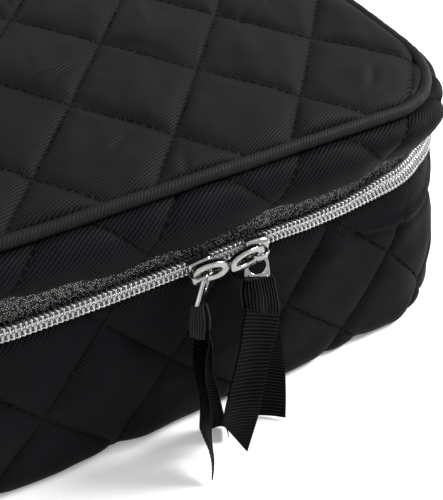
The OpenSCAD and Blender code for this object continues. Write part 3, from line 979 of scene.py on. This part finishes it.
def ribbon_tail(part, centre, across_top, across_end, far_end, near_end, seed, cup=0.7, end_wave=0.0):
    """A hanging ribbon with ribs across it, cut between two heights; near is the side across points to."""
    half_thick, rib_high, lowest = 0.2, 0.085, 0.15
    line = curve_through(centre, 600)
    run = running_length(line)
    far_length, near_length = (float(np.interp(-z, -line[:, 2], run)) for z in (far_end, near_end))
    columns, rows = 27, 220
    c = np.linspace(0, 1, columns)[None, :]
    t = np.linspace(0, 1, rows)[:, None]
    length = far_length + (near_length - far_length) * c + end_wave * np.sin(c * 2 * math.pi * 13)
    v = np.minimum(t * length, run[-1])
    place = np.stack([np.interp(v, run, line[:, k]) for k in range(3)], -1)
    slope = np.stack([np.interp(v + 0.4, run, line[:, k]) for k in range(3)], -1) - place
    blend = np.clip(v / run[-1], 0, 1)[..., None]
    across = np.array(across_top, float) * (1 - blend) + np.array(across_end, float) * blend
    out = np.cross(across, slope + 1e-9)
    out /= np.linalg.norm(out, axis=-1)[..., None] + 1e-12
    width = np.linalg.norm(across_end)
    edge = np.minimum(c, 1 - c) * width
    rib = rib_high * np.cos(v * 2 * math.pi / RIB) * np.clip((edge - 0.25) / 0.4, 0, 1)
    bow = cup * np.sin(c * math.pi) * (0.5 + 0.5 * blend[..., 0]) + 0.35 * ripple(v, c * 8, 22, seed)
    middle = place + across * (c - 0.5)[..., None] + out * bow[..., None]
    thick = out * (half_thick + rib)[..., None]
    points = np.stack([middle + thick, middle - thick])
    points[..., 2] = np.maximum(points[..., 2], lowest)
    return make(part, points, two_sided(rows, columns), cloth=[pair(c * width, v)] * 2)


def collar(part, top, bottom, across_top, across_bottom, thick, swell, seed):
    """A turn of ribbon wrapped round the folded tails, its ribs upright."""
    rows, count = 26, 150
    t = np.linspace(0, 1, rows)[:, None]
    angle = round_angles(count)[None, :]
    top, bottom, across_top, across_bottom = np.array([top, bottom, across_top, across_bottom], float)
    middle = top + (bottom - top) * t[..., None]
    across = across_top + (across_bottom - across_top) * t[..., None]
    out = unit(np.cross(across, np.broadcast_to(bottom - top, across.shape)))
    flat, face = signed_power(np.cos(angle), 0.8), np.sin(angle)
    around = flat * np.linalg.norm(across_bottom) / 2
    pinch = 1 - 0.25 * (1 - t) ** 3 - 0.16 * t**3
    bulge = signed_power(face, 0.75) * thick / 2 * pinch
    rib = 0.2 * np.cos(around * 2 * math.pi / RIB) * np.sign(face)
    rib = rib + 0.12 * ripple(around, t * 9, 7, seed)
    belly = 1 + swell * np.sin(math.pi * np.clip(t * 1.1, 0, 1)) + 0.03 * ripple(t * 9, around, 5, 3)
    points = middle + across * (flat / 2 * belly)[..., None] + out * (bulge + rib)[..., None]
    return make(part, points, tube_faces(rows, count), cloth=pair(t * 9, around))


# Middle lines of the ribbon tails, from under the collar down to the cut end
LEFT_LONG = [(11.0, -77.0, 46), (10.0, -79.6, 41), (8.9, -81.2, 37.1), (8.4, -83, 31.5), (8.1, -85.3, 24),
             (7.9, -87.1, 15.5), (7.8, -88.5, 7), (7.0, -89.6, -1.0)]
LEFT_SHORT = [(11.4, -76.6, 46), (11.8, -77.4, 37), (12.4, -78.0, 26), (13.6, -79.2, 15), (14.6, -80.8, 6),
              (14.9, -82.0, 0.6)]
RIGHT_FRONT = [(28.3, -77.4, 44), (27.6, -78.3, 40.3), (25.1, -81, 31.9), (22.0, -83.5, 24.8),
               (19.0, -86.3, 17.8), (17.4, -87.6, 12.2), (13.7, -89.5, 1.0), (13.0, -89.9, -1)]
RIGHT_BACK = [(27.6, -76.6, 46), (28.7, -76.6, 40), (29.7, -77.0, 33), (30.5, -77.6, 25.5),
              (30.9, -78.8, 15.4), (30.3, -80.8, 7), (28.9, -83.4, 0.6)]


# ---- putting it together ----

# Three copies of one black twill, their tones set apart for how light falls: the top and the band, facing up,
# are painted lighter, and the wall, also used for the floor and the hinge, is painted darker.
wall_cloth_painted_darker = quilted_cloth("quilted twill, painted darker", math.radians(34), pitch=0.80, quilting=WALL_QUILTING,
                           shaded_furrow=(0.0004, 0.0005, 0.0006), rib=(0.0062, 0.0068, 0.0086), shine=0.03)
band_cloth_painted_lighter = quilted_cloth("quilted twill of the band, painted lighter", math.radians(34), pitch=0.80, quilting=BAND_QUILTING,
                           shaded_furrow=(0.0005, 0.0006, 0.0007), rib=(0.0085, 0.0092, 0.0112), shine=0.04)
top_cloth_painted_lighter = quilted_cloth("quilted twill of the top, painted lighter", math.radians(26), pitch=0.68, quilting=TOP_QUILTING,
                          shaded_furrow=(0.0005, 0.0006, 0.0007), rib=(0.0105, 0.0114, 0.0130), shine=0.07)
welt_cloth = piping_cloth()
tape_cloth = zip_tape_cloth()
silvered = metal("silvered coil", "zip_coil", (0.30, 0.29, 0.295), (0.48, 0.47, 0.475),
                 scale=0.5, detail=2.0, metallic=0.9, roughness=0.24)
filler = metal("grey filler cord", "zip_coil", (0.11, 0.108, 0.108), (0.26, 0.255, 0.255),
               scale=0.4, detail=2.0, metallic=0.4, roughness=0.45)
plated = metal("bright plated metal", "bright_metal", (0.17, 0.165, 0.16), (0.42, 0.41, 0.40),
               scale=0.8, detail=4.0, metallic=1.0, roughness=0.10, spread=0.10)
grosgrain = ribbon_cloth("ribbed ribbon", 0.011)
# The same ribbon, its tone painted about three times lighter for the collars.
grosgrain_painted_lighter = ribbon_cloth("ribbed ribbon painted lighter", 0.032)
lining = woven_lining("black lining", "lining", (0.0065, 0.0064, 0.0067), (0.026, 0.0257, 0.027),
                      pitch=0.9, roughness=0.75)
velvet = roll_velvet("dark velvet", "roll_cloth", (0.010, 0.010, 0.0105), (0.036, 0.0355, 0.037))
bed_velvet = roll_velvet("velvet of the bed", "foam", (0.009, 0.009, 0.0095), (0.030, 0.030, 0.031))
narrow_elastic = woven_lining("black elastic", "elastic", (0.004, 0.004, 0.004), (0.022, 0.022, 0.022),
                              pitch=1.3, roughness=0.6)
board = stiff_board()

# Outside
quilted_ring(("wall_cloth_painted_darker", "base", wall_cloth_painted_darker, "base_wall"), WALL_OUTSIDE, WALL_INSIDE, WALL_QUILTING,
             anchor=WALL_QUILTING.v0, rise=1.6, seed=3, hem=wall_hem, fold=corner_fold)
quilted_ring(("band_cloth_painted_lighter", "lid", band_cloth_painted_lighter, "lid_band"), BAND_OUTSIDE, BAND_INSIDE, BAND_QUILTING,
             anchor=HEM_LOW, rise=1.3, seed=4, hem=band_hem)
top_piece = panel(("top_cloth_painted_lighter", "lid", top_cloth_painted_lighter, "lid_top_panel"), inset=PIPING_IN + 1.3, corner=20.6,
                  back_z=BAND_TOP + 0.2, face_z=75.2, height=top_height, step=CLOTH_STEP,
                  quilting=TOP_QUILTING)
floor_piece = panel(("floor_cloth", "base", wall_cloth_painted_darker, "base_floor_panel"), inset=8.6, corner=12.5,
                    back_z=3.8, face_z=0.95, height=floor_height, step=1.4)
piping(("piping_cord", "lid", welt_cloth, "lid_piping"))

# Zip
tape_low = swept(("tape_lower", "base", tape_cloth, "zip_tape_lower"),
                 strip_profile(-TAPE_DEEP, low=44, high=ZIP_Z - TAPE_GAP, thick=0.6),
                 sway=0.12, seed=31, reach=ZIP_REACH, columns=640)
tape_high = swept(("tape_upper", "lid", tape_cloth, "zip_tape_upper"),
                  strip_profile(-TAPE_DEEP, low=ZIP_Z + TAPE_GAP, high=68.5, thick=0.6),
                  sway=0.12, seed=32, reach=ZIP_REACH, columns=640)
for tape, wide in ((tape_low, 0.0107), (tape_high, 0.0132)):
    2 * ZIP_REACH * MM
for stem, finish, wound in (("coil", silvered, coil_half), ("core", filler, coil_core),
                            ("thread", silvered, coil_thread)):
    wound((f"{stem}_low", "base", finish, "coil_lower"), -1)
    wound((f"{stem}_high", "lid", finish, "coil_upper"), 1)
back_cloth(("hinge_cloth", None, wall_cloth_painted_darker), low=45.5, high=66.5)

# Boards
swept(("wall_board", "base", board, "base_wall_board"), strip_profile(-4.4, low=6, high=47.5, thick=1.1))
panel(("floor_board", "base", board, "base_floor_board"), inset=9.6, corner=11.5,
      back_z=4.4, face_z=5.6, height=level, step=4)
panel(("lid_board", "lid", board, "lid_top_board"), inset=9.4, corner=20,
      back_z=72.5, face_z=73.5, height=level, step=4)

# Lining
wall_lining = swept(("wall_lining", "base", lining, "base_lining_wall"),
                    strip_profile(-5.85, low=5.6, high=50.0, thick=0.7, rows=30), sway=0.15, seed=33)
base_rim = swept(("base_rim", "base", lining, "base_wall"), BASE_RIM, sway=0.12, seed=34)
floor_lining = panel(("floor_lining", "base", lining, "base_lining_floor"), inset=7.2, corner=14.5,
                     back_z=6.0, face_z=FLOOR_Z - 0.1, height=lining_height, step=1.6)
lid_lining = panel(("lid_lining", "lid", lining, "lid_lining_top"), inset=5.5, corner=24.5,
                   back_z=72.1, face_z=71.4, height=lining_height, step=1.6)
skirt_lining = swept(("skirt_lining", "lid", lining, "lid_lining_band"),
                     strip_profile(-4.5, low=59.9, high=72.0, thick=0.7, rows=12), sway=0.12, seed=35)
lid_rim = swept(("lid_rim", "lid", lining, "lid_lining_band"), LID_RIM, sway=0.12, seed=36)

# Compartments, ring rolls and lid pocket
for node, (axis, start_gap, end_gap) in DIVIDERS.items():
    low, high = span(node)
    low[axis] += start_gap
    high[axis] -= end_gap
    low[1 - axis] -= 0.2
    high[1 - axis] += 0.2
    cushion((f"{node}_padded", "base", lining, node), low, high + [0, 0, 0.4],
            axis, power=0.28, ends=1.2, seed=61, ripples=0.10)
low, high = span("roll_bed")
cushion(("roll_bed_padded", "base", bed_velvet, "roll_bed"), low + [4.5, 1.2, 0], high,
        axis=0, power=0.12, ends=2.0, seed=62, ripples=0.2)
for place in range(1, 5):
    low, high = span(f"ring_roll_{place}")
    inset = 7.0 if place == 1 else 2.0
    cushion((f"velvet_roll_{place}", "base", velvet, f"ring_roll_{place}"), low + [inset, -0.35, -0.3],
            high + [-0.3, 0.35, 0.3], axis=0, power=0.94, ends=3.2, seed=70 + place, ripples=0.28)
pocket = pocket_sheet(("lid_pocket_cloth", "lid", lining, "lid_pocket"), *span("lid_pocket"))
low, high = span("pocket_elastic")
cushion(("pocket_elastic_band", "lid", narrow_elastic, "pocket_elastic"),
        low - [0, 0, 1.6], high - [0, 0, 0.9],
        axis=0, power=0.35, ends=1.0, seed=63, ripples=0.22)

# Sliders and ribbon pulls
slider(("slider_left_body", "left_slider", plated, "slider_left"), x=14.0, way=1, bridge_at=12.7)
slider(("slider_right_body", "right_slider", plated, "slider_right"), x=29.3, way=-1, bridge_at=28.9)
pull_ring(("left_ring_oval", "left_ring", plated, "pull_ring_left"),
          centre=(15.6, -72.95, 56.0), along=(0.994, -0.07, -0.09), half_l=4.6, half_h=2.85)
pull_ring(("right_ring_oval", "right_ring", plated, "pull_ring_right"),
          centre=(24.75, -73.6, 56.45), along=(0.985, 0.158, -0.014), half_l=5.05, half_h=2.85)
pull_link(("left_link_plate", "left_tag", plated, "link_left"), hook=(14.5, -72.9, 53.8),
          down=(-0.508, -0.443, -0.738), across=(0.62, 0.62, -0.48), length=6.9)
pull_link(("right_link_plate", "right_tag", plated, "link_right"), hook=(27.8, -73.35, 54.2),
          down=(-0.20, -0.46, -0.865), across=(0.946, -0.326, 0), length=5.4)
tails = [
    ribbon_tail(("left_tail_long", "left_tag", grosgrain, "ribbon_left"), LEFT_LONG,
                across_top=(-0.6, -6.6, 4.2), across_end=(-1.6, -8.6, 5.1), far_end=13, near_end=-0.9,
                seed=14),
    ribbon_tail(("left_tail_short", "left_tag", grosgrain, "ribbon_left"), LEFT_SHORT,
                across_top=(0.5, -5.0, 2.4), across_end=(3.2, -4.8, 1.2), far_end=1.0, near_end=0.9, seed=15,
                cup=2.6),
    ribbon_tail(("right_tail_front", "right_tag", grosgrain, "ribbon_right"), RIGHT_FRONT,
                across_top=(9.0, -0.9, -4.7), across_end=(10.0, -1.5, -1.3), far_end=12.4, near_end=1.3,
                seed=16),
    ribbon_tail(("right_tail_back", "right_tag", grosgrain, "ribbon_right"), RIGHT_BACK,
                across_top=(6.8, -1.4, -2.6), across_end=(8.8, -5.1, 0.0), far_end=1.0, near_end=1.0,
                seed=15, end_wave=0.25),
]
left_collar = collar(("left_collar", "left_tag", grosgrain_painted_lighter, "collar_left"),
                     top=(11.4, -75.6, 49.0), bottom=(10.1, -78.4, 40.5),
                     across_top=(1.2, -4.4, 3.5), across_bottom=(1.0, -6.2, 4.8),
                     thick=2.6, swell=0.2, seed=11)
right_collar = collar(("right_collar", "right_tag", grosgrain_painted_lighter, "collar_right"),
                      top=(26.9, -75.8, 51.0), bottom=(27.2, -78.1, 41.0),
                      across_top=(8.0, -1.3, -1.0), across_bottom=(10.2, -1.5, -6.4),
                      thick=3.0, swell=0.07, seed=12)


# ---- camera, floor and light ----

VIEW_FROM = Vector((-54.74, -197.31, 208.14)) * MM
VIEW_TURN, VIEW_DOWN, VIEW_ROLL = math.radians(30.419), math.radians(45.488), math.radians(2.530)
VIEW_LENS = 64.94  # mm, for a sensor 36 mm wide


def set_camera():
    """Looks down on the sliders from the front left, rolled a little."""
    ahead = Vector((math.sin(VIEW_TURN) * math.cos(VIEW_DOWN), math.cos(VIEW_TURN) * math.cos(VIEW_DOWN),
                    -math.sin(VIEW_DOWN)))
    right = Vector((math.cos(VIEW_TURN), -math.sin(VIEW_TURN), 0))
    up = right.cross(ahead)
    rolled_right = right * math.cos(VIEW_ROLL) + up * math.sin(VIEW_ROLL)
    rolled_up = up * math.cos(VIEW_ROLL) - right * math.sin(VIEW_ROLL)
    camera = shown("camera", bpy.data.cameras.new("camera"))
    turn = Matrix((rolled_right, rolled_up, -ahead)).transposed()
    camera.matrix_world = Matrix.Translation(VIEW_FROM) @ turn.to_4x4()
    camera.data.sensor_width = 36
    camera.data.lens = VIEW_LENS
    camera.data.clip_start = 0.01
    bpy.context.scene.camera = camera


def pale_floor():
    """A wide white floor that keeps the case's soft shadow."""
    mesh = bpy.data.meshes.new("floor")
    reach = 3.0
    corners = [(-reach, -reach, 0), (reach, -reach, 0), (reach, reach, 0), (-reach, reach, 0)]
    mesh.from_pydata(corners, [], [(0, 1, 2, 3)])
    paint = Finish("white floor", None)
    paint.surface(Base_Color=(0.97, 0.97, 0.97, 1), Roughness=0.9, Specular_IOR_Level=0.1)
    mesh.materials.append(paint.material)
    floor = shown("floor", mesh)
    floor.location.z = -0.0002


def soft_lamp(name, place, target, size, power):
    """A square lamp turned towards its target, in metres and watts."""
    lamp = shown(name, bpy.data.lights.new(name, "AREA"))
    lamp.data.size = size
    lamp.data.energy = power
    lamp.location = place
    lamp.rotation_euler = (Vector(target) - Vector(place)).to_track_quat("-Z", "Y").to_euler()


def white_room():
    """White all round, a little dimmer as light than as background."""
    world = bpy.data.worlds.new("white room")
    bpy.context.scene.world = world
    world.use_nodes = True
    nodes, links = world.node_tree.nodes, world.node_tree.links
    lit, seen = nodes["Background"], nodes.new("ShaderNodeBackground")
    lit.inputs["Color"].default_value = (1, 1, 1, 1)
    lit.inputs["Strength"].default_value = 0.87
    seen.inputs["Color"].default_value = (1, 1, 1, 1)
    rays, join = nodes.new("ShaderNodeLightPath"), nodes.new("ShaderNodeMixShader")
    shows = rays.outputs["Is Camera Ray"]
    for ray in ("Is Glossy Ray", "Is Transmission Ray"):
        either = nodes.new("ShaderNodeMath")
        either.operation = "MAXIMUM"
        links.new(shows, either.inputs[0])
        links.new(rays.outputs[ray], either.inputs[1])
        shows = either.outputs[0]
    links.new(shows, join.inputs["Fac"])
    links.new(lit.outputs["Background"], join.inputs[1])
    links.new(seen.outputs["Background"], join.inputs[2])
    links.new(join.outputs["Shader"], nodes["World Output"].inputs["Surface"])


set_camera()
pale_floor()
white_room()
soft_lamp("key lamp", (1.0, -0.2, 0.95), (0, 0, 0.05), size=0.45, power=26)
soft_lamp("fill lamp", (-0.9, -0.6, 0.9), (0, 0, 0.03), size=1.0, power=4)
bpy.context.scene.view_settings.view_transform = "Standard"
